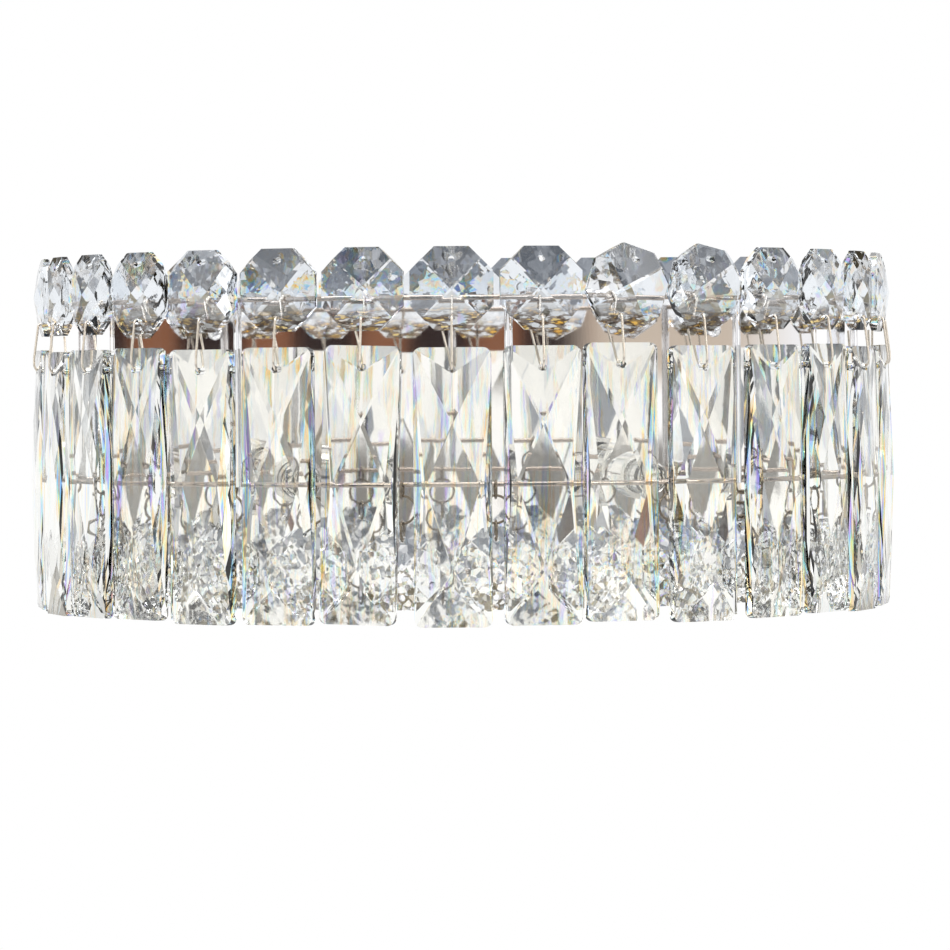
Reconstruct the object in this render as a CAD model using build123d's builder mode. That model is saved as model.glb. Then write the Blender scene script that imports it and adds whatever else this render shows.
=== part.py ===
from build123d import *
import os
from math import acos, atan, cos, degrees, radians, sin

os.makedirs("parts", exist_ok=True)

# Crystal wall sconce. Millimetres, +Z up, wall plane at y = 0, room towards -Y.
# The origin is on the wall, midway between the two wall holes.

# ---- overall layout ----
RING_Y = -5.0                # centre of the half round, just off the wall
BEAD_RADIUS = 164.0          # mid-plane of the front octagons
BEAD_SPACING = 32.5          # from one long plate to the next
BEAD_REACH = 84.4            # degrees each way that the row may cover
BEAD_RISE = 3.2              # octagon centres above the top hoop
RAIL_Y = -16.0               # straight rear run of both hoops
TOP_HOOP_HEIGHT = 29.3
LOWER_HOOP_HEIGHT = -37.9
CLEAR = 0.15                 # loose seat between wire and glass or wire
TOUCH = 0.05                 # gap between pieces that lie against each other

# ---- octagon crystals ----
OCTAGON_WIDTH = 30.0         # across flats
OCTAGON_MIDDLE = 4.5         # half thickness at the centre
OCTAGON_EDGE = 1.0           # half thickness at the four square flats
OCTAGON_HOLE_AT = 10.4       # bores from the centre, top and bottom
OCTAGON_BORE = 1.1           # bore radius
BEAD_TURNS = {10: 18.0, 11: 12.0}   # beads that sit turned on their wires, degrees

# ---- long plates ----
PRISM_WIDTH = 28.0
PRISM_LENGTH = 100.0
PRISM_CORNER = 3.0
PRISM_MIDDLE = 4.0           # half thickness of the centre table
PRISM_EDGE = 1.6             # half thickness at the rim
PRISM_HOLE_DOWN = 7.9        # bore below the top edge
PRISM_BORE = 1.3
PRISM_STEP = 1.0             # plates hang this much further out than the octagons
PRISM_BAND = 3.0             # bevelled band along each long side
BAND_DEPTH = 3.3             # half thickness where the band meets the facets
APEX_DOWN = 9.5              # shallow top triangle
APEX_DEPTH = 2.6
TABLE_TOP_DOWN = 27.5        # upper point of the centre table
TABLE_FOOT_UP = 20.0         # lower point of the centre table
TABLE_HALF = 9.75            # side points of the centre table
PRISM_LEAN = {7: 1.5}        # plates that hang slightly out of plumb, degrees
PRISM_RISE = 0.5             # small differences in hanging height

# ---- wires ----
HOOP_WIRE = 0.9              # radius of the hoop wire
HANGER_WIRE = 0.45           # radius of hanger and ring wire
HANGER_LENGTH = 18.2         # bottom bore of an octagon to the bore of its plate
HOOK_RADIUS = 3.5
HOOK_KNEE = 2.0              # the front leg stands straight this far above the hook, then leans back
HANGER_BEND = 1.2
HANGER_TAIL = 2.6            # tail behind the top hoop
LEG_HEIGHT = 11.0            # free rear leg of the hook
LEG_SPLAY = 3.4              # the free leg leans to one side

# ---- inner drops ----
DROP_SPACING = 33.86         # from one inner drop to the next
DROP_REACH = 75.7            # degrees each way that the inner row may cover
RING_UPPER = 3.2             # mean radii of the three rings of a chain
RING_MIDDLE = 5.0
RING_LOWER = 3.6
REAR_COUNT = 8
REAR_PITCH = 31.6
REAR_SHIFT = 5.8             # the rear row stands a little to the right

# ---- frame ----
POST_RADIUS = 1.5
POST_ANGLES = (-72.0, -36.0, 1.8, 36.0, 72.0)
HOOP_CORNER = 2.5
STRAP_WIDTH = 7.0
STRAP_THICK = 1.5
STRAP_INSET = 6.4            # strap centre inside the end of the lower hoop

# ---- back plate ----
PLATE_HALF = 138.5
PLATE_RIM = 4.1              # plate edge above the top hoop
PLATE_BOTTOM = -81.0
PLATE_FRONT = -25.0
PLATE_THICK = 1.2
FLANGE_DEPTH = 12.0
PLATE_CORNER = 2.0

# ---- wall bracket and its screws ----
STRIP_HALF = 112.0
STRIP_TOP = 12.0
STRIP_BOTTOM = -14.0
STRIP_THICK = 2.0
WALL_HOLE = 2.25
WALL_HOLE_SPACING = 60.0
CABLE_HOLE = 6.5
ARM_WIDTH = 19.0
PAD_TOP = 26.0
SCREW_X = 97.6
SCREW_Z = 18.5
SCREW_SHANK = 1.5
SCREW_HEAD = 2.8
SCREW_DOME = 2.2
SCREW_PLAY = 0.2
SCREW_END = 2.0              # shank past the pad

# ---- lamps and wiring ----
LAMP_X = 66.0
LAMP_Z = -38.0
HOLDER_RADIUS = 9.0
HOLDER_LENGTH = 17.0
SOCKET_WIDTH = 11.0
SOCKET_HEIGHT = 8.0
SOCKET_DEPTH = 8.0
LAMP_BASE_LENGTH = 14.0
CAPSULE_RADIUS = 7.0
CAPSULE_LENGTH = 30.0
FIT = 0.2
BLOCK_X = 58.0
BLOCK_WIDTH = 28.0
BLOCK_HEIGHT = 12.0
BLOCK_DEPTH = 13.0
TERMINAL_HOLE = 1.6
GROMMET_BORE = 4.0
GROMMET_LIP = 9.0
GROMMET_FACE = 2.5

# ---- sizes that follow ----
OCTAGON_SLOPE = (OCTAGON_MIDDLE - OCTAGON_EDGE) / (OCTAGON_WIDTH / 2)
BEAD_HEIGHT = TOP_HOOP_HEIGHT + BEAD_RISE
BEAD_PITCH = degrees(2 * atan(BEAD_SPACING / 2 / (BEAD_RADIUS + PRISM_STEP)))
BEAD_COUNT = 1 + int(2 * BEAD_REACH / BEAD_PITCH)
DEPTH_AT_HOOP = OCTAGON_MIDDLE - OCTAGON_SLOPE * abs(BEAD_RISE)
HANGER_BACK = DEPTH_AT_HOOP + CLEAR + HANGER_WIRE
LOOP_RADIUS = HOOP_WIRE + HANGER_WIRE + TOUCH
HOOP_BACK = HANGER_BACK + LOOP_RADIUS
HANGER_FRONT = OCTAGON_MIDDLE - OCTAGON_SLOPE * OCTAGON_HOLE_AT + HANGER_WIRE + CLEAR
TOP_HOOP_RADIUS = BEAD_RADIUS - HOOP_BACK
POST_RING = TOP_HOOP_RADIUS - HOOP_WIRE - POST_RADIUS - TOUCH
LOWER_HOOP_RADIUS = POST_RING - POST_RADIUS - HOOP_WIRE - TOUCH
STRAP_X = LOWER_HOOP_RADIUS - STRAP_INSET
DROP_PITCH = degrees(2 * atan(DROP_SPACING / 2 / LOWER_HOOP_RADIUS))
DROP_COUNT = 1 + int(2 * DROP_REACH / DROP_PITCH)
PLATE_TOP = TOP_HOOP_HEIGHT + PLATE_RIM
REAR_BEAD_Y = RAIL_Y + HOOP_BACK
BORE_DROP = OCTAGON_BORE - HANGER_WIRE - CLEAR     # wire above or below a bore's axis
HOOK_DROP = PRISM_BORE - HANGER_WIRE - CLEAR
LINK_STEP = 2 * HANGER_WIRE + TOUCH                # wire centres where two rings hang
RING_1_Z = LOWER_HOOP_HEIGHT + HOOP_WIRE + HANGER_WIRE + TOUCH - RING_UPPER
RING_2_Z = RING_1_Z - RING_UPPER + LINK_STEP - RING_MIDDLE
RING_3_Z = RING_2_Z - RING_MIDDLE + LINK_STEP - RING_LOWER
DROP_HEIGHT = RING_3_Z - RING_LOWER + BORE_DROP - OCTAGON_HOLE_AT
PLATE_BACK = PLATE_FRONT + PLATE_THICK
PAD_FRONT = PLATE_BACK + TOUCH


def bead_angle(number):
    return (number - (BEAD_COUNT + 1) / 2) * BEAD_PITCH


def drop_angle(number):
    return (number - (DROP_COUNT + 1) / 2) * DROP_PITCH


def on_ring(radius, angle, height, along=0.0):
    """Placement on the half round, facing outwards, moved along the tangent."""
    a = radians(angle)
    x = radius * sin(a) + along * cos(a)
    y = RING_Y - radius * cos(a) + along * sin(a)
    return Location((x, y, height), (0, 0, angle))


def hook_shift(number):
    """Sideways place of an octagon's bottom bore."""
    return -OCTAGON_HOLE_AT * sin(radians(BEAD_TURNS.get(number, 0.0)))


def hook_bore(number):
    """Height of an octagon's bottom bore."""
    return BEAD_HEIGHT - OCTAGON_HOLE_AT * cos(radians(BEAD_TURNS.get(number, 0.0)))


def prism_bore(number):
    """Height of a long plate's bore."""
    return hook_bore(number) - HANGER_LENGTH + PRISM_RISE * sin(2.1 * number)


def hook_centre(number):
    """Height of the centre of the hook that carries a long plate: its hinge."""
    return prism_bore(number) - HOOK_DROP + HOOK_RADIUS


def facet_plane(corners, side, face):
    """Plane through three (x, z, depth) corners, mirrored to a side and a face."""
    first, second, third = (Vector(side * x, face * depth, z) for x, z, depth in corners)
    normal = (second - first).cross(third - first).normalized()
    return Plane(origin=first, z_dir=normal * (1 if normal.Y * face > 0 else -1))


# ---- octagon blank: four facets on each face ----
with BuildPart() as octagon_blank:
    with BuildSketch(Plane.XZ):
        RegularPolygon(OCTAGON_WIDTH / 2, 8, major_radius=False, rotation=22.5)
    extrude(amount=OCTAGON_MIDDLE, both=True)
    for face in (-1, 1):
        for across, up in ((1, 0), (-1, 0), (0, 1), (0, -1)):
            facet = Plane(
                origin=(0, face * OCTAGON_MIDDLE, 0),
                z_dir=(across * OCTAGON_SLOPE, face, up * OCTAGON_SLOPE),
            )
            split(bisect_by=facet, keep=Keep.BOTTOM)
    with BuildSketch(Plane.XZ):
        with Locations((0, OCTAGON_HOLE_AT), (0, -OCTAGON_HOLE_AT)):
            Circle(OCTAGON_BORE)
    extrude(amount=OCTAGON_MIDDLE, both=True, mode=Mode.SUBTRACT)

# ---- long plate blank: origin at its bore ----
TOP_Z = PRISM_HOLE_DOWN
FOOT_Z = PRISM_HOLE_DOWN - PRISM_LENGTH
MIDDLE_Z = (TOP_Z + FOOT_Z) / 2
top_corner = (-PRISM_WIDTH / 2, TOP_Z, PRISM_EDGE)
foot_corner = (-PRISM_WIDTH / 2, FOOT_Z, PRISM_EDGE)
apex = (0, TOP_Z - APEX_DOWN, APEX_DEPTH)
table_top = (0, TOP_Z - TABLE_TOP_DOWN, PRISM_MIDDLE)
table_side = (-TABLE_HALF, MIDDLE_Z, PRISM_MIDDLE)
table_foot = (0, FOOT_Z + TABLE_FOOT_UP, PRISM_MIDDLE)
band_top = (-PRISM_WIDTH / 2 + PRISM_BAND, TOP_Z, BAND_DEPTH)
band_foot = (-PRISM_WIDTH / 2 + PRISM_BAND, FOOT_Z, BAND_DEPTH)
prism_facets = (
    (top_corner, (PRISM_WIDTH / 2, TOP_Z, PRISM_EDGE), apex),
    (top_corner, apex, table_top),
    (top_corner, table_top, table_side),
    (foot_corner, table_foot, table_side),
    (foot_corner, (PRISM_WIDTH / 2, FOOT_Z, PRISM_EDGE), table_foot),
    (top_corner, band_top, band_foot),
)
with BuildPart() as prism_blank:
    with BuildSketch(Plane.XZ):
        with Locations((0, MIDDLE_Z)):
            RectangleRounded(PRISM_WIDTH, PRISM_LENGTH, PRISM_CORNER)
    extrude(amount=PRISM_MIDDLE, both=True)
    for face in (-1, 1):
        for side in (-1, 1):
            for corners in prism_facets:
                split(bisect_by=facet_plane(corners, side, face), keep=Keep.BOTTOM)
    with BuildSketch(Plane.XZ):
        Circle(PRISM_BORE)
    extrude(amount=PRISM_MIDDLE, both=True, mode=Mode.SUBTRACT)

# ---- front octagons ----
for number in range(1, BEAD_COUNT + 1):
    turn = Location((0, 0, 0), (0, BEAD_TURNS.get(number, 0.0), 0))
    place = on_ring(BEAD_RADIUS, bead_angle(number), BEAD_HEIGHT) * turn
    with BuildPart() as octagon:
        add(octagon_blank.part.moved(place))
    octagon.part.label = f"octagon_{number:02d}"
    export_step(octagon.part, f"parts/{octagon.part.label}.step")

# ---- long plates, each free on its hook ----
for number in range(1, BEAD_COUNT + 1):
    lean = Location((0, 0, 0), (0, PRISM_LEAN.get(number, 0.0), 0))
    ring = on_ring(BEAD_RADIUS + PRISM_STEP, bead_angle(number), prism_bore(number), hook_shift(number))
    with BuildPart() as prism:
        add(prism_blank.part.moved(ring * lean))
    prism.part.label = f"prism_{number:02d}"
    export_step(prism.part, f"parts/{prism.part.label}.step")

# ---- inner drops, each free on its lowest ring ----
for number in range(1, DROP_COUNT + 1):
    with BuildPart() as drop:
        add(octagon_blank.part.moved(on_ring(LOWER_HOOP_RADIUS, drop_angle(number), DROP_HEIGHT)))
    drop.part.label = f"drop_{number:02d}"
    export_step(drop.part, f"parts/{drop.part.label}.step")

# ---- octagons behind the plate's top edge ----
def rear_place(step, height):
    x = REAR_SHIFT + (step - (REAR_COUNT - 1) / 2) * REAR_PITCH
    return Location((x, REAR_BEAD_Y, height), (0, 0, 180))


with BuildPart() as rear_octagons:
    add([octagon_blank.part.moved(rear_place(step, BEAD_HEIGHT)) for step in range(REAR_COUNT)])
rear_octagons.part.label = "rear_octagons"
export_step(rear_octagons.part, "parts/rear_octagons.step")


# ---- hoops: a half round closed by a straight rear rail ----
def hoop_half_angle(radius):
    return degrees(acos((RING_Y - RAIL_Y) / radius))


with BuildPart() as top_hoop:
    with BuildLine(Plane.XY.offset(TOP_HOOP_HEIGHT)) as top_path:
        half = hoop_half_angle(TOP_HOOP_RADIUS)
        bow = CenterArc((0, RING_Y), TOP_HOOP_RADIUS, -90 - half, 2 * half)
        Line(bow @ 1, bow @ 0)
        fillet(top_path.vertices(), radius=HOOP_CORNER)
    with BuildSketch(Plane(origin=top_path.line @ 0, z_dir=top_path.line % 0)):
        Circle(HOOP_WIRE)
    sweep()
top_hoop.part.label = "top_hoop"
export_step(top_hoop.part, "parts/top_hoop.step")

with BuildPart() as lower_hoop:
    with BuildLine(Plane.XY.offset(LOWER_HOOP_HEIGHT)) as lower_path:
        half = hoop_half_angle(LOWER_HOOP_RADIUS)
        bow = CenterArc((0, RING_Y), LOWER_HOOP_RADIUS, -90 - half, 2 * half)
        Line(bow @ 1, bow @ 0)
        fillet(lower_path.vertices(), radius=HOOP_CORNER)
    with BuildSketch(Plane(origin=lower_path.line @ 0, z_dir=lower_path.line % 0)):
        Circle(HOOP_WIRE)
    sweep()
lower_hoop.part.label = "lower_hoop"
export_step(lower_hoop.part, "parts/lower_hoop.step")

# ---- posts inside the top hoop and outside the lower one ----
with BuildPart() as frame_posts:
    with BuildSketch(Plane.XY.offset(LOWER_HOOP_HEIGHT - HOOP_WIRE)):
        with Locations([on_ring(POST_RING, angle, 0).position for angle in POST_ANGLES]):
            Circle(POST_RADIUS)
    extrude(amount=TOP_HOOP_HEIGHT - LOWER_HOOP_HEIGHT + 2 * HOOP_WIRE)
frame_posts.part.label = "frame_posts"
export_step(frame_posts.part, "parts/frame_posts.step")

# ---- flat straps across both rails at the rear corners ----
STRAP_Y = RAIL_Y - HOOP_WIRE - TOUCH - STRAP_THICK / 2
with BuildPart() as end_straps:
    with BuildSketch(Plane.XY.offset(LOWER_HOOP_HEIGHT - HOOP_WIRE)):
        with Locations((-STRAP_X, STRAP_Y), (STRAP_X, STRAP_Y)):
            Rectangle(STRAP_WIDTH, STRAP_THICK)
    extrude(amount=TOP_HOOP_HEIGHT - LOWER_HOOP_HEIGHT + 2 * HOOP_WIRE)
end_straps.part.label = "end_straps"
export_step(end_straps.part, "parts/end_straps.step")


# ---- bent wires, drawn beside an octagon's mid-plane with -Y outwards ----
def bent_wire(corners, radii):
    with BuildPart() as wire:
        with BuildLine() as path:
            FilletPolyline(*[(x, -out, z) for x, out, z in corners], radius=radii)
        with BuildSketch(Plane(origin=path.line @ 0, z_dir=path.line % 0)):
            Circle(HANGER_WIRE)
        sweep()
    return wire.part


def over_hoop(bore_height):
    """Corners of the wire from behind the hoop, over it and through a bottom bore."""
    wire_height = bore_height + BORE_DROP
    return [
        (0, -HOOP_BACK - LOOP_RADIUS, TOP_HOOP_HEIGHT - HANGER_TAIL),
        (0, -HOOP_BACK - LOOP_RADIUS, TOP_HOOP_HEIGHT + LOOP_RADIUS),
        (0, -HANGER_BACK, TOP_HOOP_HEIGHT + LOOP_RADIUS),
        (0, -HANGER_BACK, wire_height),
    ]


loop_bends = [LOOP_RADIUS - TOUCH, LOOP_RADIUS - TOUCH, HANGER_BEND]
hangers = []
for number in range(1, BEAD_COUNT + 1):
    hook_foot = hook_centre(number) - HOOK_RADIUS
    leg_end = hook_foot + HOOK_RADIUS + LEG_HEIGHT
    wire_height = hook_bore(number) + BORE_DROP
    corners = over_hoop(hook_bore(number)) + [
        (0, HANGER_FRONT, wire_height),
        (0, PRISM_STEP + HOOK_RADIUS, hook_centre(number) + HOOK_KNEE),
        (0, PRISM_STEP + HOOK_RADIUS, hook_foot),
        (0, PRISM_STEP - HOOK_RADIUS, hook_foot),
        (-LEG_SPLAY, PRISM_STEP - HOOK_RADIUS, leg_end),
    ]
    bends = loop_bends + [HANGER_BEND, HANGER_BEND, HOOK_RADIUS - TOUCH, HOOK_RADIUS - TOUCH]
    wire = bent_wire(corners, bends)
    hangers.append(wire.moved(on_ring(BEAD_RADIUS, bead_angle(number), 0, hook_shift(number))))
with BuildPart() as hanger_wires:
    add(hangers)
hanger_wires.part.label = "hanger_wires"
export_step(hanger_wires.part, "parts/hanger_wires.step")

rear_bore = BEAD_HEIGHT - OCTAGON_HOLE_AT
rear_wire_height = rear_bore + BORE_DROP
rear_corners = over_hoop(rear_bore) + [
    (0, OCTAGON_MIDDLE, rear_wire_height),
    (0, OCTAGON_MIDDLE, rear_wire_height - HANGER_TAIL),
]
rear_wire = bent_wire(rear_corners, loop_bends + [HANGER_BEND])
with BuildPart() as rear_hooks:
    add([rear_wire.moved(rear_place(step, 0)) for step in range(REAR_COUNT)])
rear_hooks.part.label = "rear_hooks"
export_step(rear_hooks.part, "parts/rear_hooks.step")


# ---- three-ring chains on the lower hoop ----
def wire_ring(radius, height, rotation):
    with BuildPart() as ring:
        Torus(radius, HANGER_WIRE, rotation=rotation)
    return ring.part.moved(Location((0, 0, height)))


chain = [
    wire_ring(RING_UPPER, RING_1_Z, (0, 90, 0)),
    wire_ring(RING_MIDDLE, RING_2_Z, (90, 0, 0)),
    wire_ring(RING_LOWER, RING_3_Z, (0, 90, 0)),
]
chains = []
for number in range(1, DROP_COUNT + 1):
    place = on_ring(LOWER_HOOP_RADIUS, drop_angle(number), 0)
    chains += [ring.moved(place) for ring in chain]
with BuildPart() as drop_rings:
    add(chains)
drop_rings.part.label = "drop_rings"
export_step(drop_rings.part, "parts/drop_rings.step")

# ---- mirror-polished plate with side flanges that the rails pass through ----
PLATE_HEIGHT = PLATE_TOP - PLATE_BOTTOM
with BuildPart() as back_plate:
    with BuildSketch(Plane.XY.offset(PLATE_BOTTOM)):
        with BuildLine():
            FilletPolyline(
                (-PLATE_HALF, PLATE_FRONT + FLANGE_DEPTH),
                (-PLATE_HALF, PLATE_FRONT),
                (PLATE_HALF, PLATE_FRONT),
                (PLATE_HALF, PLATE_FRONT + FLANGE_DEPTH),
                radius=PLATE_CORNER,
            )
            offset(amount=-PLATE_THICK, side=Side.LEFT)
        make_face()
    extrude(amount=PLATE_HEIGHT)
    with BuildSketch(Plane.YZ.offset(-PLATE_HALF - PLATE_THICK)):
        with Locations((RAIL_Y, TOP_HOOP_HEIGHT), (RAIL_Y, LOWER_HOOP_HEIGHT)):
            Circle(HOOP_WIRE + CLEAR)
    extrude(amount=2 * (PLATE_HALF + PLATE_THICK), mode=Mode.SUBTRACT)
    with BuildSketch(Plane.XZ.offset(-PLATE_BACK - PLATE_THICK)):
        with Locations((-SCREW_X, SCREW_Z), (SCREW_X, SCREW_Z)):
            Circle(SCREW_SHANK + SCREW_PLAY)
    extrude(amount=3 * PLATE_THICK, both=True, mode=Mode.SUBTRACT)
back_plate.part.label = "back_plate"
export_step(back_plate.part, "parts/back_plate.step")

# ---- wall bracket: strip on the wall and an arm with a pad at each end ----
with BuildPart() as wall_bracket:
    with BuildSketch(Plane.XZ):
        with Locations((0, (STRIP_TOP + STRIP_BOTTOM) / 2)):
            RectangleRounded(2 * STRIP_HALF, STRIP_TOP - STRIP_BOTTOM, PLATE_CORNER)
        with Locations((-WALL_HOLE_SPACING / 2, 0), (WALL_HOLE_SPACING / 2, 0)):
            Circle(WALL_HOLE, mode=Mode.SUBTRACT)
        Circle(CABLE_HOLE, mode=Mode.SUBTRACT)
    extrude(amount=STRIP_THICK)
    for side in (-1, 1):
        with BuildSketch(Plane.YZ.offset(side * SCREW_X)):
            with BuildLine():
                Polyline(
                    (-STRIP_THICK, STRIP_TOP - STRIP_THICK),
                    (-STRIP_THICK, STRIP_TOP),
                    (PAD_FRONT + STRIP_THICK, STRIP_TOP),
                    (PAD_FRONT + STRIP_THICK, PAD_TOP),
                    (PAD_FRONT, PAD_TOP),
                    (PAD_FRONT, STRIP_TOP - STRIP_THICK),
                    close=True,
                )
            make_face()
        extrude(amount=ARM_WIDTH / 2, both=True)
    with BuildSketch(Plane.XZ.offset(-PAD_FRONT - STRIP_THICK)):
        with Locations((-SCREW_X, SCREW_Z), (SCREW_X, SCREW_Z)):
            Circle(SCREW_SHANK + TOUCH)
    extrude(amount=STRIP_THICK, both=True, mode=Mode.SUBTRACT)
wall_bracket.part.label = "wall_bracket"
export_step(wall_bracket.part, "parts/wall_bracket.step")

# ---- domed screws ----
SCREW_FOOT = PAD_FRONT + STRIP_THICK + SCREW_END - PLATE_FRONT
dome_sphere = (SCREW_HEAD**2 + SCREW_DOME**2) / (2 * SCREW_DOME)
with BuildPart() as dome_screw:
    with BuildSketch(Plane.XZ):
        with BuildLine():
            Line((0, SCREW_DOME), (0, -SCREW_FOOT))
            Line((0, -SCREW_FOOT), (SCREW_SHANK, -SCREW_FOOT))
            Line((SCREW_SHANK, -SCREW_FOOT), (SCREW_SHANK, 0))
            Line((SCREW_SHANK, 0), (SCREW_HEAD, 0))
            RadiusArc((SCREW_HEAD, 0), (0, SCREW_DOME), -dome_sphere)
        make_face()
    revolve(axis=Axis.Z)
with BuildPart() as dome_screws:
    for side in (-1, 1):
        add(dome_screw.part.moved(Location((side * SCREW_X, PLATE_FRONT - TOUCH, SCREW_Z), (90, 0, 0))))
dome_screws.part.label = "dome_screws"
export_step(dome_screws.part, "parts/dome_screws.step")

# ---- lampholders and capsule lamps on the plate ----
HOLDER_FRONT = -PLATE_FRONT + TOUCH + HOLDER_LENGTH
with BuildPart() as lampholders:
    with BuildSketch(Plane.XZ.offset(-PLATE_FRONT + TOUCH)):
        with Locations((-LAMP_X, LAMP_Z), (LAMP_X, LAMP_Z)):
            Circle(HOLDER_RADIUS)
    extrude(amount=HOLDER_LENGTH)
    with BuildSketch(Plane.XZ.offset(HOLDER_FRONT)):
        with Locations((-LAMP_X, LAMP_Z), (LAMP_X, LAMP_Z)):
            Rectangle(SOCKET_WIDTH + 2 * FIT, SOCKET_HEIGHT + 2 * FIT)
    extrude(amount=-SOCKET_DEPTH, mode=Mode.SUBTRACT)
lampholders.part.label = "lampholders"
export_step(lampholders.part, "parts/lampholders.step")

BASE_FOOT = HOLDER_FRONT - SOCKET_DEPTH + TOUCH
with BuildPart() as lamps:
    with BuildSketch(Plane.XZ.offset(BASE_FOOT)):
        with Locations((-LAMP_X, LAMP_Z), (LAMP_X, LAMP_Z)):
            Rectangle(SOCKET_WIDTH, SOCKET_HEIGHT)
    extrude(amount=LAMP_BASE_LENGTH)
    with BuildSketch(Plane.XZ.offset(BASE_FOOT + LAMP_BASE_LENGTH)):
        with Locations((-LAMP_X, LAMP_Z), (LAMP_X, LAMP_Z)):
            Circle(CAPSULE_RADIUS)
    extrude(amount=CAPSULE_LENGTH)
    tips = lamps.faces().filter_by(Axis.Y).group_by(Axis.Y)[0]
    fillet(tips.edges(), radius=CAPSULE_RADIUS * 0.9)
lamps.part.label = "lamps"
export_step(lamps.part, "parts/lamps.step")

# ---- terminal block and cable grommet on the bracket ----
with BuildPart() as terminal_block:
    with BuildSketch(Plane.XZ.offset(STRIP_THICK + TOUCH)):
        with Locations((BLOCK_X, 0)):
            Rectangle(BLOCK_WIDTH, BLOCK_HEIGHT)
    extrude(amount=BLOCK_DEPTH)
    with BuildSketch(Plane.YZ.offset(BLOCK_X)):
        with Locations((-STRIP_THICK - BLOCK_DEPTH / 2, 0)):
            Circle(TERMINAL_HOLE)
    extrude(amount=BLOCK_WIDTH / 2, both=True, mode=Mode.SUBTRACT)
terminal_block.part.label = "terminal_block"
export_step(terminal_block.part, "parts/terminal_block.step")

with BuildPart() as cable_grommet:
    with BuildSketch(Plane.XZ):
        Circle(CABLE_HOLE - TOUCH)
        Circle(GROMMET_BORE, mode=Mode.SUBTRACT)
    extrude(amount=STRIP_THICK + TOUCH)
    with BuildSketch(Plane.XZ.offset(STRIP_THICK + TOUCH)):
        Circle(GROMMET_LIP)
        Circle(GROMMET_BORE, mode=Mode.SUBTRACT)
    extrude(amount=GROMMET_FACE)
cable_grommet.part.label = "cable_grommet"
export_step(cable_grommet.part, "parts/cable_grommet.step")
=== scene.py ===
from math import atan2, radians

import bmesh
import bpy
from mathutils import Matrix, Vector

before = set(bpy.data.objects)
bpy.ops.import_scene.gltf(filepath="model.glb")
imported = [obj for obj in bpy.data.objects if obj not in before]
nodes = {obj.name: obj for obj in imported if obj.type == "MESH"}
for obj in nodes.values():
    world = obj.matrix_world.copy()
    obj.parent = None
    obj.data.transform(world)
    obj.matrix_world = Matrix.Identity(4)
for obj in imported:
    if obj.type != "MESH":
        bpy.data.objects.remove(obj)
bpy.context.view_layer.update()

# ---- camera, in metres and in pixels of the 950-wide frame ----
IMAGE_WIDTH = 950
FOCAL_PIXELS = 4379.0
SENSOR = 36.0
CAMERA_PLACE = Vector((-0.1326, -1.7279, 0.0))
RING_CENTRE = Vector((0.0, -0.005, 0.0))     # centre of the half round of crystals
CENTRE_PIXEL = 462.0
HORIZON_PIXEL = 379.0
CAMERA_ROLL = radians(0.42)

# ---- stage and lamps ----
FLOOR_HEIGHT = -0.6
FLOOR_HALF = 20.0
LAMP_AIM = (0.0, -0.08, 0.0)
WHITE = (1.0, 1.0, 1.0)

# ---- crystal; sizes of noise are in features per metre ----
CRYSTAL_IOR = 1.54
POLISH_GRAIN = 1100.0
POLISH_ROUGHNESS = 0.016
RIPPLE_SIZE = 60.0
RIPPLE_DEPTH = 0.004
# painted light: the settings below put a rainbow of split light into the crystal's base colour, on the
# bevels and in patches
BEVEL_FACING = (0.96, 0.90)      # how squarely a facet faces outward, from table to bevel
RAINBOW_GLINT_EDGE = 0.04                # softness of the edge of a painted rainbow glint
PATCH_SIZE = 42.0
PATCH_EDGE = (0.47, 0.56)
HUE_FINENESS = 1.9               # hues of the painted rainbow change this many times faster than its glints come and go
RAINBOW = [
    (0.32, (0.42, 0.22, 1.0)), (0.41, (0.12, 0.42, 1.0)), (0.47, (0.35, 0.95, 0.95)),
    (0.52, (1.0, 0.92, 0.25)), (0.58, (1.0, 0.45, 0.10)), (0.66, (0.95, 0.80, 0.45)),
]
TIP_HEIGHT = 0.027               # painted amber glints and dark brown reflections lie below this height
TIP_FADE = 0.005
GLINT_STRETCH = (190.0, 190.0, 620.0)
GLINT_EDGE = (0.48, 0.52)
# painted light: umber to near-black brown reflections, then amber glints, in the octagons' lower tips
PAINTED_TIP_LIGHT = [
    (0.46, (0.34, 0.28, 0.23)), (0.51, (0.10, 0.07, 0.05)),
    (0.62, (0.14, 0.09, 0.06)), (0.64, (1.0, 0.58, 0.10)),
]

# ---- metals, plastics and capsule glass ----
METAL_MARKS = 1400.0
MARK_STRENGTH = 0.04
MARK_SHARE = 0.8                 # part of a metal's roughness that its marks vary
EVEN_SHARE = 0.6
BRUSHED_UPRIGHT = (1.0, 1.0, 0.06)
PORE_ROUGHNESS = 0.15
PORE_DEPTH = 0.0003
CAPSULE_IOR = 1.46
CAPSULE_GRAIN = 500.0
CAPSULE_ROUGHNESS = 0.05

# ---- surroundings, by direction: sideways or upwards over depth ----
# each band is (place, brightness, coolness), where a coolness of 1 is neutral
BAND_REACH = 1.0
STUDIO_RISE = [
    (-1.0, 0.9, 1.0), (-0.78, 0.45, 1.05), (-0.60, 0.85, 1.0), (-0.42, 0.45, 1.06),
    (-0.34, 0.40, 1.1), (-0.32, 0.13, 1.2), (-0.262, 0.11, 1.2), (-0.258, 0.30, 1.12),
    (-0.235, 0.26, 1.12), (-0.23, 0.12, 1.2), (-0.20, 0.16, 1.2), (-0.18, 0.80, 1.0),
    (-0.04, 0.96, 1.0), (0.0, 1.0, 1.0), (0.17, 1.0, 1.0), (0.19, 0.16, 0.45),
    (0.235, 0.07, 0.5), (0.24, 0.55, 0.72), (0.265, 0.60, 0.85), (0.27, 0.85, 1.0),
    (0.31, 0.9, 1.0), (0.315, 0.16, 0.7), (0.36, 0.14, 0.8), (0.38, 1.0, 1.0),
]
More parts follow.
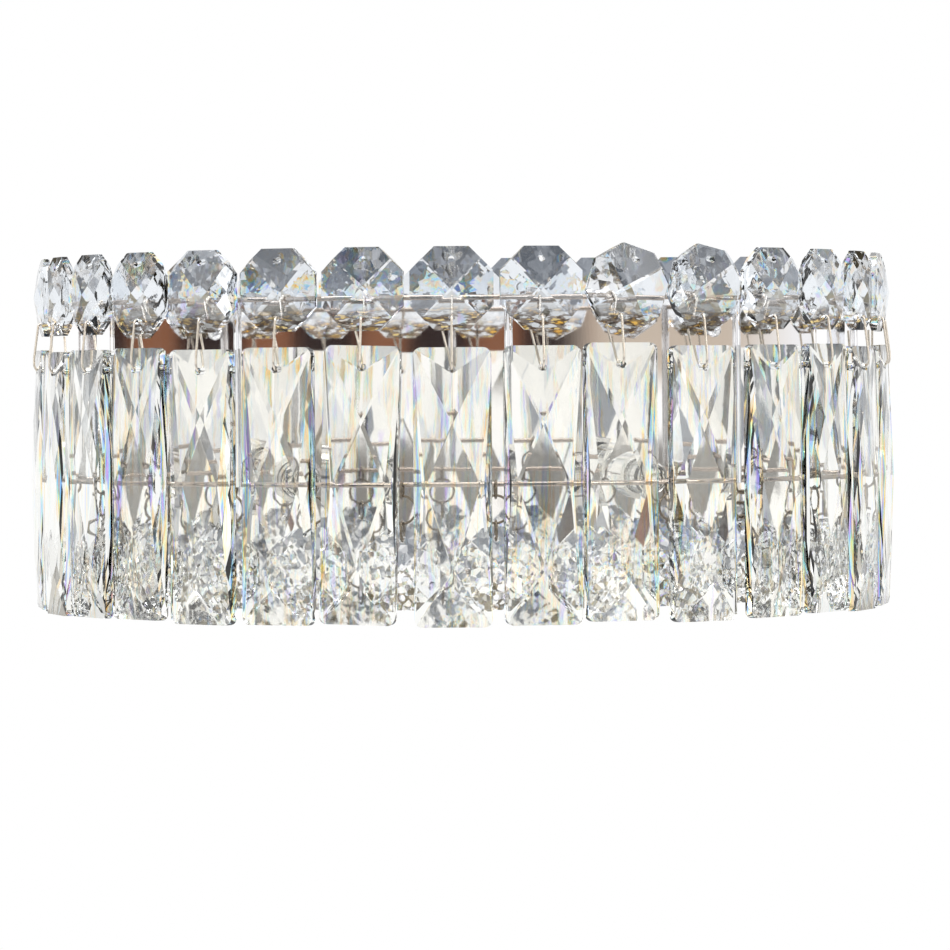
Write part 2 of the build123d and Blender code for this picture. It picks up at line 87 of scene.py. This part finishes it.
STUDIO_ACROSS = [
    (-0.80, 1.0, 1.0), (-0.60, 0.22, 1.05), (-0.48, 0.25, 1.0), (-0.40, 1.0, 1.0),
    (-0.19, 1.0, 1.0), (-0.155, 0.70, 1.06), (-0.12, 1.0, 1.0), (0.13, 1.0, 1.0),
    (0.165, 0.72, 1.06), (0.2, 1.0, 1.0), (0.25, 1.0, 1.0), (0.27, 0.34, 1.15),
    (0.40, 0.30, 1.1), (0.43, 1.0, 1.0), (0.60, 0.9, 1.0), (0.64, 0.25, 1.05), (0.8, 1.0, 1.0),
]
WALL_RISE = [
    (-1.0, 0.95, 1.0), (-0.78, 0.45, 1.05), (-0.60, 0.90, 1.0), (-0.40, 0.40, 1.05),
    (-0.30, 0.22, 1.12), (-0.262, 0.18, 1.15), (-0.258, 0.36, 1.1), (-0.235, 0.30, 1.1),
    (-0.23, 0.16, 1.15), (-0.19, 0.22, 1.1), (-0.17, 1.0, 1.0), (0.15, 1.0, 1.0),
    (0.19, 0.30, 0.7), (0.24, 0.16, 0.6), (0.25, 0.7, 0.9), (0.30, 0.8, 1.0),
    (0.31, 0.2, 0.8), (0.42, 0.5, 1.0), (0.6, 1.0, 1.0),
]
SHALLOWEST = 0.02                # depth that a sideways direction is divided by at least
STUDIO_GAIN = 1.4
FILL_LEVEL = (0.9, 0.9, 0.9)     # what matt surfaces are lit by
STRIP_MIDDLE = 0.055
STRIP_RISE = 0.012
STRIP_SIDES = (0.10, 0.085)
STRIP_EDGES = (0.016, 0.010)
STRIP_DARK = (0.03, 0.02, 0.02)
STRIP_BROWN = (0.30, 0.13, 0.07)
STRIP_BEIGE = (0.7, 0.6, 0.5)
STRIP_PANEL_RATE = 240.0
STRIP_PANEL_EDGE = (0.1, 0.5)
STRIP_BEIGE_FROM = (0.10, 0.11)
SLATE = (0.31, 0.30, 0.285)
SLATE_RISE = -0.030
SLATE_SIDES = (0.14, 0.12)
SLATE_EDGES = (0.018, 0.014)

# places of the mix node's colour inputs and output
MIX_FACTOR = 0
MIX_FIRST = 6
MIX_SECOND = 7
MIX_RESULT = 2


# ---- shader maths ----
class Value:
    """A socket of a node tree that takes part in arithmetic."""

    def __init__(self, maker, socket):
        self.maker = maker
        self.socket = socket

    def output(self, name):
        """Another output of the node that this value comes from."""
        return Value(self.maker, self.socket.node.outputs[name])

    def math(self, operation, *others):
        return self.maker.node("ShaderNodeMath", {"operation": operation}, *others)

    def __add__(self, other):
        return self.math("ADD", self, other)

    def __radd__(self, other):
        return self.math("ADD", other, self)

    def __sub__(self, other):
        return self.math("SUBTRACT", self, other)

    def __rsub__(self, other):
        return self.math("SUBTRACT", other, self)

    def __mul__(self, other):
        return self.math("MULTIPLY", self, other)

    def __rmul__(self, other):
        return self.math("MULTIPLY", other, self)

    def __truediv__(self, other):
        return self.math("DIVIDE", self, other)

    def __abs__(self):
        return self.math("ABSOLUTE", self)


class Finish:
    """Builds one node tree, of a material or of the world."""

    def __init__(self, owner):
        owner.use_nodes = True
        self.tree = owner.node_tree
        self.tree.nodes.clear()

    def node(self, kind, settings=None, *values, out=0, **named):
        made = self.tree.nodes.new(kind)
        for name, setting in (settings or {}).items():
            if name == "stops":
                self.stops(made.color_ramp, setting)
            else:
                setattr(made, name, setting)
        for socket, value in zip(made.inputs, values):
            self.feed(socket, value)
        for name, value in named.items():
            self.feed(made.inputs[name.replace("_", " ")], value)
        return Value(self, made.outputs[out])

    def stops(self, ramp, stops):
        while len(ramp.elements) < len(stops):
            ramp.elements.new(1.0)
        for element, (place, colour) in zip(ramp.elements, stops):
            element.position = place
            element.color = (*colour, 1.0)

    def feed(self, socket, value):
        if isinstance(value, Value):
            self.tree.links.new(value.socket, socket)
        elif value is not None:
            if socket.type == "RGBA" and len(value) == 3:
                value = (*value, 1.0)
            socket.default_value = value

    def place(self):
        return self.node("ShaderNodeTexCoord", out="Object")

    def facet(self):
        return self.node("ShaderNodeNewGeometry", out="True Normal")

    def vector(self, operation, *values, out=0):
        return self.node("ShaderNodeVectorMath", {"operation": operation}, *values, out=out)

    def stretched(self, x, y, z):
        return self.vector("MULTIPLY", self.place(), (x, y, z))

    def noise(self, scale, detail=3.0, vector=None):
        vector = vector or self.place()
        return self.node("ShaderNodeTexNoise", None, Vector=vector, Scale=scale, Detail=detail)

    def step(self, value, start, end):
        """0 before start, 1 after end."""
        return self.node("ShaderNodeMapRange", None, value, From_Min=start, From_Max=end)

    def ramp(self, value, stops):
        return self.node("ShaderNodeValToRGB", {"stops": stops}, value)

    def bands(self, value, bands):
        """Light that changes in bands from -BAND_REACH to BAND_REACH; a cool band is bluer."""
        spread = self.step(value, -BAND_REACH, BAND_REACH)
        stops = [((at + BAND_REACH) / (2 * BAND_REACH), (tone * (1.5 - 0.5 * cool), tone, tone * cool))
                 for at, tone, cool in bands]
        return self.ramp(spread, stops)

    def blend(self, mask, first, second):
        mixer = self.tree.nodes.new("ShaderNodeMix")
        mixer.data_type = "RGBA"
        self.feed(mixer.inputs[MIX_FACTOR], mask)
        self.feed(mixer.inputs[MIX_FIRST], first)
        self.feed(mixer.inputs[MIX_SECOND], second)
        return Value(self, mixer.outputs[MIX_RESULT])

    def bump(self, height, strength, distance, face=None):
        return self.node("ShaderNodeBump", None,
                         Strength=strength, Distance=distance, Height=height, Normal=face)

    def principled(self, **sockets):
        self.done(self.node("ShaderNodeBsdfPrincipled", None, **sockets))

    def done(self, shader, kind="ShaderNodeOutputMaterial"):
        output = self.tree.nodes.new(kind)
        self.tree.links.new(shader.socket, output.inputs["Surface"])


def finish_named(name):
    material = bpy.data.materials.new(name)
    return material, Finish(material)


# ---- finishes ----
def paint_tip_glints(f, place, colour):
    """Painted amber glints and painted dark umber reflections in the lower tips of the octagons."""
    height = f.node("ShaderNodeSeparateXYZ", None, place, out="Z")
    glints = f.noise(1.0, 2.0, f.stretched(*GLINT_STRETCH))
    low = f.step(height, TIP_HEIGHT, TIP_HEIGHT - TIP_FADE) * f.step(glints, *GLINT_EDGE)
    return f.blend(low, colour, f.ramp(glints, PAINTED_TIP_LIGHT))


def cut_crystal(name, clear, ripple_height, shard_size, shard_tilt, streak,
                fleck_from, edge_flecks, all_over, warm=False):
    """Cut lead crystal: clear, with small shards of tilted light and a painted rainbow of split light along
    the bevels.

    ripple_height is how uneven the faces are, and shard_size and shard_tilt how fine and how far
    tilted the shards are. streak is the painted rainbow's fineness along x, y and z, fleck_from how
    much of the glass has none, and edge_flecks and all_over how strong it is on the bevels and elsewhere.
    """
    material, f = finish_named(name)
    place = f.place()
    shard = f.node("ShaderNodeTexVoronoi", None, out="Color",
                   Vector=place, Scale=shard_size, Randomness=1.0)
    centred = f.vector("SUBTRACT", shard, (0.5, 0.5, 0.5))
    tilt = f.vector("MULTIPLY", centred, (shard_tilt, shard_tilt, shard_tilt))
    face = f.vector("NORMALIZE", f.vector("ADD", f.facet(), tilt))
    normal = f.bump(f.noise(RIPPLE_SIZE, 2.0), ripple_height, RIPPLE_DEPTH, face)

    from_centre = f.vector("SUBTRACT", place, tuple(RING_CENTRE))
    outward = f.vector("NORMALIZE", f.vector("MULTIPLY", from_centre, (1.0, 1.0, 0.0)))
    facing = abs(f.vector("DOT_PRODUCT", f.facet(), outward, out=1))
    bevel = f.step(facing, *BEVEL_FACING)
    # painted light: a rainbow of split light painted into the base colour, on the bevels and in patches
    # elsewhere
    rainbow_glints = f.step(f.noise(1.0, 2.0, f.stretched(*streak)), fleck_from, fleck_from + RAINBOW_GLINT_EDGE)
    patches = f.step(f.noise(PATCH_SIZE, 1.0), *PATCH_EDGE)
    mask = rainbow_glints * (bevel * edge_flecks + patches * all_over)
    hue = f.noise(1.0, 1.0, f.stretched(*(HUE_FINENESS * way for way in streak)))
    colour = f.blend(mask, clear, f.ramp(hue, RAINBOW))
    # paints amber glints and dark brown reflections into the octagons' lower tips
    if warm:
        colour = paint_tip_glints(f, place, colour)
    f.principled(Base_Color=colour, Roughness=f.noise(POLISH_GRAIN) * POLISH_ROUGHNESS,
                 IOR=CRYSTAL_IOR, Transmission_Weight=1.0, Normal=normal)
    return material


def bright_metal(name, pale, deep, roughness, patch=60.0, stretch=None, relief=0.0002):
    """Plated or polished metal: tone drifts a little and fine marks vary the gloss."""
    material, f = finish_named(name)
    marks = f.noise(METAL_MARKS, 4.0, f.stretched(*stretch) if stretch else None)
    f.principled(Base_Color=f.blend(f.noise(patch), pale, deep), Metallic=1.0,
                 Roughness=marks * (roughness * MARK_SHARE) + roughness * EVEN_SHARE,
                 Normal=f.bump(marks, MARK_STRENGTH, relief))
    return material


def plain_solid(name, pale, deep, roughness, patch=90.0, grain=1800.0, relief=0.1):
    """Cast zinc, moulded plastic or rubber: tone drifts and small pores roughen it."""
    material, f = finish_named(name)
    pores = f.noise(grain)
    f.principled(Base_Color=f.blend(f.noise(patch, 4.0), pale, deep),
                 Roughness=pores * PORE_ROUGHNESS + roughness,
                 Normal=f.bump(pores, relief, PORE_DEPTH))
    return material


def clear_lamp(name, pale, deep):
    """Capsule glass: clear, a little uneven, faintly warm."""
    material, f = finish_named(name)
    grain = f.noise(CAPSULE_GRAIN)
    f.principled(Base_Color=f.blend(grain, pale, deep), Roughness=grain * CAPSULE_ROUGHNESS,
                 IOR=CAPSULE_IOR, Transmission_Weight=1.0)
    return material


# the crystals' rainbows and the octagons' tip glints are painted light in the base colour
octagon_crystal = cut_crystal(
    "octagon_crystal", (0.83, 0.865, 0.905), ripple_height=0.02, shard_size=260.0, shard_tilt=0.04,
    streak=(110.0, 110.0, 90.0), fleck_from=0.57, edge_flecks=0.7, all_over=0.5, warm=True)
drop_crystal = cut_crystal(
    "drop_crystal", (0.97, 0.98, 0.99), ripple_height=0.0, shard_size=300.0, shard_tilt=0.30,
    streak=(330.0, 330.0, 330.0), fleck_from=0.56, edge_flecks=0.3, all_over=0.7)
plate_crystal = cut_crystal(
    "plate_crystal", (0.985, 0.99, 0.965), ripple_height=0.003, shard_size=260.0, shard_tilt=0.002,
    streak=(300.0, 300.0, 24.0), fleck_from=0.53, edge_flecks=0.95, all_over=0.45)
hoop_wire = bright_metal("hoop_wire", (0.56, 0.49, 0.43), (0.40, 0.34, 0.29), 0.16)
ring_wire = bright_metal("ring_wire", (0.27, 0.23, 0.18), (0.16, 0.13, 0.10), 0.2)
fine_wire = bright_metal("fine_wire", (0.86, 0.79, 0.69), (0.70, 0.62, 0.53), 0.2)
chrome = bright_metal("frame_chrome", (0.88, 0.88, 0.89), (0.74, 0.74, 0.76), 0.07)
mirror = bright_metal("plate_mirror", (0.84, 0.82, 0.80), (0.78, 0.76, 0.75), 0.03,
                      stretch=BRUSHED_UPRIGHT, relief=0.000008)
zinc = plain_solid("bracket_zinc", (0.66, 0.66, 0.65), (0.55, 0.56, 0.57), 0.4)
sleeve = bright_metal("holder_sleeve", (0.82, 0.80, 0.77), (0.70, 0.68, 0.65), 0.12)
lamp_glass = clear_lamp("lamp_glass", (0.97, 0.96, 0.93), (0.92, 0.91, 0.88))
moulded = plain_solid("terminal_plastic", (0.86, 0.86, 0.83), (0.80, 0.80, 0.77), 0.45)
rubber = plain_solid("grommet_rubber", (0.05, 0.05, 0.05), (0.08, 0.08, 0.08), 0.6)

FINISHES = {
    "top_hoop": hoop_wire,
    "lower_hoop": hoop_wire,
    "frame_posts": chrome,
    "end_straps": chrome,
    "hanger_wires": fine_wire,
    "drop_rings": ring_wire,
    "rear_hooks": fine_wire,
    "rear_octagons": octagon_crystal,
    "back_plate": mirror,
    "wall_bracket": zinc,
    "dome_screws": chrome,
    "lampholders": sleeve,
    "lamps": lamp_glass,
    "terminal_block": moulded,
    "cable_grommet": rubber,
}
ROW_FINISHES = {"octagon": octagon_crystal, "drop": drop_crystal, "prism": plate_crystal}

for name, piece in nodes.items():
    material = FINISHES.get(name) or ROW_FINISHES[name.split("_")[0]]
    for slot in piece.material_slots:
        slot.material = material


# ---- surroundings ----
def window(f, across, rise, height, sides, edges):
    """1 inside an oblong of directions round the middle of the plate's open strip."""
    return f.step(abs(across - STRIP_MIDDLE), *sides) * f.step(abs(rise - height), *edges)


def open_strip(f, across):
    """What the plate's open strip mirrors: dark, with evenly spaced brown panels and beige to the right."""
    panels = f.node("ShaderNodeMath", {"operation": "SINE"}, across * STRIP_PANEL_RATE)
    strip = f.blend(f.step(panels, *STRIP_PANEL_EDGE), STRIP_DARK, STRIP_BROWN)
    return f.blend(f.step(across, *STRIP_BEIGE_FROM), strip, STRIP_BEIGE)


def build_world():
    world = bpy.data.worlds.new("studio")
    bpy.context.scene.world = world
    f = Finish(world)
    direction = f.node("ShaderNodeTexCoord", out="Generated")
    x = f.node("ShaderNodeSeparateXYZ", None, direction)
    y = x.output("Y")
    z = x.output("Z")
    depth = f.node("ShaderNodeMath", {"operation": "MAXIMUM"}, abs(y), SHALLOWEST)
    across = x / depth
    rise = z / depth

    # the studio in front of the light: white, with dark flags to the sides, above and below
    studio = f.vector("MULTIPLY", f.bands(rise, STUDIO_RISE), f.bands(across, STUDIO_ACROSS))
    studio = f.vector("MULTIPLY", studio, (STUDIO_GAIN, STUDIO_GAIN, STUDIO_GAIN))
    ahead = window(f, across, rise, STRIP_RISE, STRIP_SIDES, STRIP_EDGES)
    studio = f.blend(ahead, studio, open_strip(f, across))
    below = window(f, across, rise, SLATE_RISE, SLATE_SIDES, SLATE_EDGES)
    studio = f.blend(below, studio, SLATE)

    # behind the light: white round eye level, with grey bands above and below
    wall = f.bands(rise, WALL_RISE)
    towards_room = f.node("ShaderNodeMath", {"operation": "LESS_THAN"}, y, 0.0)
    seen = f.blend(towards_room, wall, studio)

    camera_ray = f.node("ShaderNodeLightPath", out="Is Camera Ray")
    colour = f.blend(camera_ray.output("Is Diffuse Ray"), seen, FILL_LEVEL)
    colour = f.blend(camera_ray, colour, WHITE)
    f.done(f.node("ShaderNodeBackground", None, Color=colour, Strength=1.0), "ShaderNodeOutputWorld")


def build_floor():
    """A pale floor that the camera sees as white, and that glass and metal don't show."""
    form = bmesh.new()
    bmesh.ops.create_grid(form, x_segments=1, y_segments=1, size=FLOOR_HALF,
                          matrix=Matrix.Translation((0.0, 0.0, FLOOR_HEIGHT)))
    mesh = bpy.data.meshes.new("floor")
    form.to_mesh(mesh)
    form.free()
    floor = bpy.data.objects.new("floor", mesh)
    bpy.context.scene.collection.objects.link(floor)
    material, f = finish_named("floor_white")
    paint = f.blend(f.noise(8.0), (0.80, 0.80, 0.80), (0.76, 0.76, 0.76))
    matt = f.node("ShaderNodeBsdfDiffuse", None, Color=paint)
    glow = f.node("ShaderNodeEmission", None, Color=WHITE, Strength=1.0)
    camera_ray = f.node("ShaderNodeLightPath", out="Is Camera Ray")
    f.done(f.node("ShaderNodeMixShader", None, camera_ray, matt, glow))
    mesh.materials.append(material)
    floor.visible_transmission = False
    floor.visible_glossy = False


def softbox(name, place, width, height, power):
    """A lamp the size of a softbox, turned to the light; sizes in metres, power in watts."""
    light = bpy.data.lights.new(name, "AREA")
    light.shape = "RECTANGLE"
    light.size = width
    light.size_y = height
    light.energy = power
    lamp = bpy.data.objects.new(name, light)
    bpy.context.scene.collection.objects.link(lamp)
    lamp.location = place
    lamp.rotation_euler = (Vector(LAMP_AIM) - Vector(place)).to_track_quat("-Z", "Y").to_euler()


def build_camera():
    data = bpy.data.cameras.new("view")
    data.sensor_width = SENSOR
    data.lens = FOCAL_PIXELS / IMAGE_WIDTH * SENSOR
    data.shift_x = (IMAGE_WIDTH / 2 - CENTRE_PIXEL) / IMAGE_WIDTH
    data.shift_y = -(IMAGE_WIDTH / 2 - HORIZON_PIXEL) / IMAGE_WIDTH
    camera = bpy.data.objects.new("view", data)
    bpy.context.scene.collection.objects.link(camera)
    sight = RING_CENTRE - CAMERA_PLACE
    turn = Matrix.Rotation(-atan2(sight.x, sight.y), 4, "Z") @ Matrix.Rotation(radians(90), 4, "X")
    camera.matrix_world = Matrix.Translation(CAMERA_PLACE) @ turn @ Matrix.Rotation(-CAMERA_ROLL, 4, "Z")
    bpy.context.scene.camera = camera


build_world()
build_floor()
build_camera()
softbox("key_softbox", (-1.2, -1.8, 1.6), 1.2, 0.9, 14.0)
softbox("fill_softbox", (1.5, -1.4, 0.9), 0.9, 0.9, 7.0)
softbox("top_softbox", (0.0, -0.2, 1.4), 0.9, 0.5, 8.0)

bpy.context.scene.view_settings.view_transform = "Standard"
